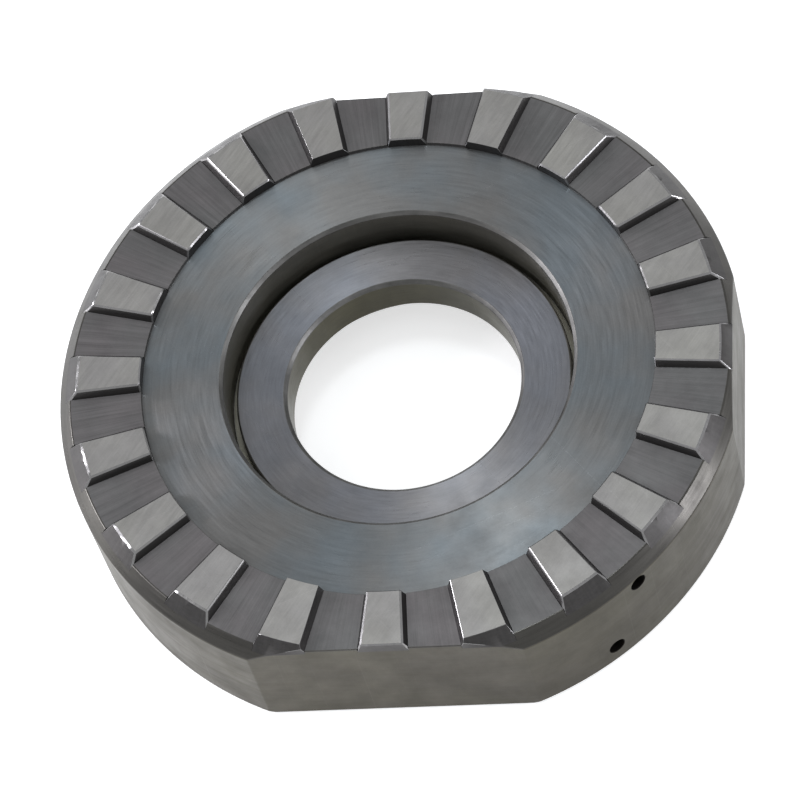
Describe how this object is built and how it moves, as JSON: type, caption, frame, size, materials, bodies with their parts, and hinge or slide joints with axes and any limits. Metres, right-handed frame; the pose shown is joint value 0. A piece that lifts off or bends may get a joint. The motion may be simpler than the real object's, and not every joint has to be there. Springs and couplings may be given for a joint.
{
  "type": "face mill",
  "caption": "Flat steel disc with a ring of ground radial tips on its face, a counterbored middle with a pressed bore ring, and flats on its rim.",
  "frame": {"origin": "on the bore axis, in the plane of the back face", "axes": "+Z along the bore axis towards the tips, +X towards the shallow side flat, +Y and -Y towards the two main flats"},
  "size_m": [0.1574, 0.1472, 0.032],
  "materials": {
    "body_steel": "milled and turned steel, satin",
    "ring_steel": "ground steel, satin",
    "tip_face": "ground pale grey",
    "screw_steel": "blackened steel"
  },
  "bodies": {
    "disc": {"cutter_body": "body_steel", "hub_ring": "ring_steel", "tip_01": "tip_face", "tip_02": "tip_face", "tip_03": "tip_face", "tip_04": "tip_face", "tip_05": "tip_face", "tip_06": "tip_face", "tip_07": "tip_face", "tip_08": "tip_face", "tip_09": "tip_face", "tip_10": "tip_face", "tip_11": "tip_face", "tip_12": "tip_face", "tip_13": "tip_face", "tip_14": "tip_face", "tip_15": "tip_face", "tip_16": "tip_face", "tip_17": "tip_face", "tip_18": "tip_face", "tip_19": "tip_face", "tip_20": "tip_face"},
    "upper_screw": {"upper_balance_screw": "screw_steel"},
    "lower_screw": {"lower_balance_screw": "screw_steel"}
  },
  "joints": [
    {"name": "upper_screw_travel", "type": "slide", "parent": "disc", "child": "upper_screw", "axis": [0.7022, -0.712, 0], "range_m": [-0.0055, 0.006]},
    {"name": "lower_screw_travel", "type": "slide", "parent": "disc", "child": "lower_screw", "axis": [0.6157, -0.788, 0], "range_m": [-0.0055, 0.006]}
  ]
}
